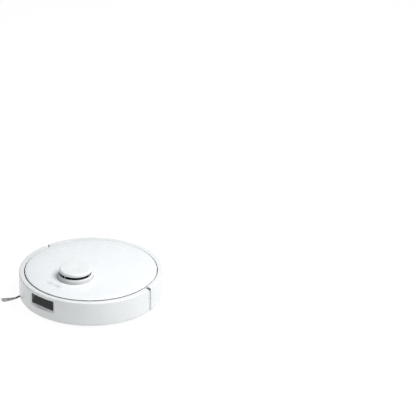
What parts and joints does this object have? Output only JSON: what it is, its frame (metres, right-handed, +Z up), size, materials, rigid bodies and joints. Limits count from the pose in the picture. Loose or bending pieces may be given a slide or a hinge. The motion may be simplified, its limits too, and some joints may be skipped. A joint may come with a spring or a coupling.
{
  "type": "robot vacuum",
  "caption": "Round white robot vacuum with a laser turret, sprung front bumper, drive wheels, roller and side brushes, lift-out dust bin and spinning mop discs.",
  "frame": {"origin": "on the floor under the centre of the round body", "axes": "+Z up, -Y the way the robot drives, +X its left side"},
  "size_m": [0.353, 0.353, 0.101],
  "materials": {
    "white_shell": "satin gloss moulded white",
    "pale_plastic": "fine matt moulded off-white",
    "grey_plastic": "fine matt moulded grey",
    "dark_plastic": "matt black",
    "smoked_window": "polished smoked black",
    "black_rubber": "matt moulded rubber",
    "contact_metal": "bright plated",
    "motor_metal": "drawn steel can",
    "circuit_board": "green solder resist",
    "mop_cloth": "looped microfibre",
    "filter_paper": "pleated paper",
    "brush_rubber": "soft matt rubber",
    "latch_plastic": "matt moulded orange-red"
  },
  "bodies": {
    "base": {"rear_shell": "white_shell", "upper_housing": "pale_plastic", "turret_base": "pale_plastic", "exhaust_grille": "pale_plastic", "brush_chamber": "pale_plastic", "air_duct": "pale_plastic", "fan_housing": "pale_plastic", "water_tank": "pale_plastic", "caster_socket": "pale_plastic", "chassis_base": "grey_plastic", "battery_door": "grey_plastic", "battery_pack": "grey_plastic", "brush_cover": "grey_plastic", "speaker": "dark_plastic", "dock_signal_window": "smoked_window", "cliff_sensor_left": "smoked_window", "cliff_sensor_right": "smoked_window", "water_inlet": "black_rubber", "charging_contact_left": "contact_metal", "charging_contact_right": "contact_metal", "brush_motor": "motor_metal", "side_brush_motor": "motor_metal", "main_board": "circuit_board"},
    "bumper": {"front_bumper": "white_shell", "obstacle_window": "smoked_window", "wall_sensor_window": "smoked_window"},
    "lid": {"top_lid": "white_shell"},
    "bin": {"dust_bin": "grey_plastic", "bin_lid": "pale_plastic", "bin_filter": "filter_paper"},
    "power_key": {"power_button": "pale_plastic"},
    "dock_key": {"dock_button": "pale_plastic"},
    "turret_lid": {"turret_cap": "white_shell"},
    "lidar": {"lidar_head": "dark_plastic", "lidar_lens": "smoked_window"},
    "caster_yoke": {"caster_fork": "grey_plastic", "caster_axle": "contact_metal"},
    "caster_roller": {"caster_wheel": "dark_plastic"},
    "left_swing_arm": {"left_wheel_arm": "grey_plastic", "left_wheel_motor": "dark_plastic"},
    "left_drive_wheel": {"left_wheel": "grey_plastic", "left_tyre": "black_rubber"},
    "right_swing_arm": {"right_wheel_arm": "grey_plastic", "right_wheel_motor": "dark_plastic"},
    "right_drive_wheel": {"right_wheel": "grey_plastic", "right_tyre": "black_rubber"},
    "roller_brush": {"main_brush": "brush_rubber", "brush_gear": "pale_plastic"},
    "idler": {"idler_gear": "pale_plastic"},
    "pinion": {"motor_pinion": "pale_plastic"},
    "spinner": {"side_brush": "brush_rubber"},
    "left_mop_unit": {"left_mop_motor": "motor_metal"},
    "left_mop": {"left_mop_plate": "grey_plastic", "left_mop_pad": "mop_cloth"},
    "right_mop_unit": {"right_mop_motor": "motor_metal"},
    "right_mop": {"right_mop_plate": "grey_plastic", "right_mop_pad": "mop_cloth"},
    "fan": {"fan_impeller": "dark_plastic"},
    "left_latch": {"left_cover_latch": "latch_plastic"},
    "right_latch": {"right_cover_latch": "latch_plastic"}
  },
  "joints": [
    {"name": "bumper_press", "type": "slide", "parent": "base", "child": "bumper", "axis": [0, 1, 0], "range_m": [0, 0.004], "stiffness_N_per_m": 300, "springref_m": -0.002},
    {"name": "lid_lift", "type": "slide", "parent": "base", "child": "lid", "axis": [0, 0, 1], "range_m": [0, 0.09]},
    {"name": "dust_bin_lift", "type": "slide", "parent": "base", "child": "bin", "axis": [0, 0, 1], "range_m": [0, 0.0675]},
    {"name": "power_button_press", "type": "slide", "parent": "base", "child": "power_key", "axis": [0, 0, -1], "range_m": [0, 0.001], "stiffness_N_per_m": 800, "springref_m": -0.0005},
    {"name": "dock_button_press", "type": "slide", "parent": "base", "child": "dock_key", "axis": [0, 0, -1], "range_m": [0, 0.001], "stiffness_N_per_m": 800, "springref_m": -0.0005},
    {"name": "turret_cap_press", "type": "slide", "parent": "base", "child": "turret_lid", "axis": [0, 0, -1], "range_m": [0, 0.0015], "stiffness_N_per_m": 1500, "springref_m": -0.001},
    {"name": "lidar_spin", "type": "hinge", "parent": "base", "child": "lidar", "pos_m": [0, -0.0545, 0.085], "axis": [0, 0, 1], "continuous": true},
    {"name": "caster_swivel", "type": "hinge", "parent": "base", "child": "caster_yoke", "pos_m": [0, -0.135, 0.02], "axis": [0, 0, 1], "continuous": true},
    {"name": "caster_roll", "type": "hinge", "parent": "caster_yoke", "child": "caster_roller", "pos_m": [0, -0.131, 0.012], "axis": [1, 0, 0], "continuous": true},
    {"name": "left_wheel_suspension", "type": "hinge", "parent": "base", "child": "left_swing_arm", "pos_m": [0.1, 0.054, 0.0325], "axis": [1, 0, 0], "range_deg": [0, 13], "stiffness_Nm_per_rad": 0.15, "springref_deg": 28.65},
    {"name": "left_wheel_spin", "type": "hinge", "parent": "left_swing_arm", "child": "left_drive_wheel", "pos_m": [0.112, 0.002, 0.0325], "axis": [1, 0, 0], "continuous": true},
    {"name": "right_wheel_suspension", "type": "hinge", "parent": "base", "child": "right_swing_arm", "pos_m": [-0.1, 0.054, 0.0325], "axis": [1, 0, 0], "range_deg": [0, 13], "stiffness_Nm_per_rad": 0.15, "springref_deg": 28.65},
    {"name": "right_wheel_spin", "type": "hinge", "parent": "right_swing_arm", "child": "right_drive_wheel", "pos_m": [-0.112, 0.002, 0.0325], "axis": [1, 0, 0], "continuous": true},
    {"name": "main_brush_spin", "type": "hinge", "parent": "base", "child": "roller_brush", "pos_m": [0, -0.005, 0.0195], "axis": [1, 0, 0], "continuous": true},
    {"name": "idler_spin", "type": "hinge", "parent": "base", "child": "idler", "pos_m": [0.09, -0.005, 0.0375], "axis": [1, 0, 0], "continuous": true},
    {"name": "pinion_spin", "type": "hinge", "parent": "base", "child": "pinion", "pos_m": [0.09, -0.005, 0.0555], "axis": [1, 0, 0], "continuous": true},
    {"name": "side_brush_spin", "type": "hinge", "parent": "base", "child": "spinner", "pos_m": [-0.10998, -0.09903, 0.008], "axis": [0, 0, 1], "continuous": true},
    {"name": "left_mop_lift", "type": "slide", "parent": "base", "child": "left_mop_unit", "axis": [0, 0, 1], "range_m": [0, 0.0045]},
    {"name": "left_mop_spin", "type": "hinge", "parent": "left_mop_unit", "child": "left_mop", "pos_m": [0.0655, 0.08309, 0.005], "axis": [0, 0, 1], "continuous": true},
    {"name": "right_mop_lift", "type": "slide", "parent": "base", "child": "right_mop_unit", "axis": [0, 0, 1], "range_m": [0, 0.0045]},
    {"name": "right_mop_spin", "type": "hinge", "parent": "right_mop_unit", "child": "right_mop", "pos_m": [-0.0655, 0.08309, 0.005], "axis": [0, 0, 1], "continuous": true},
    {"name": "fan_spin", "type": "hinge", "parent": "base", "child": "fan", "pos_m": [0.092, 0.082, 0.0548], "axis": [0, 0, 1], "continuous": true},
    {"name": "left_latch_slide", "type": "slide", "parent": "base", "child": "left_latch", "axis": [-1, 0, 0], "range_m": [0, 0.002], "stiffness_N_per_m": 300, "springref_m": -0.001},
    {"name": "right_latch_slide", "type": "slide", "parent": "base", "child": "right_latch", "axis": [1, 0, 0], "range_m": [0, 0.002], "stiffness_N_per_m": 300, "springref_m": -0.001}
  ],
  "couplings": [
    {"joint": "dust_bin_lift", "follows": "lid_lift", "ratio": 0.75},
    {"joint": "idler_spin", "follows": "main_brush_spin", "ratio": -0.5},
    {"joint": "pinion_spin", "follows": "main_brush_spin", "ratio": 1},
    {"joint": "right_mop_lift", "follows": "left_mop_lift", "ratio": 1},
    {"joint": "right_mop_spin", "follows": "left_mop_spin", "ratio": -1}
  ]
}
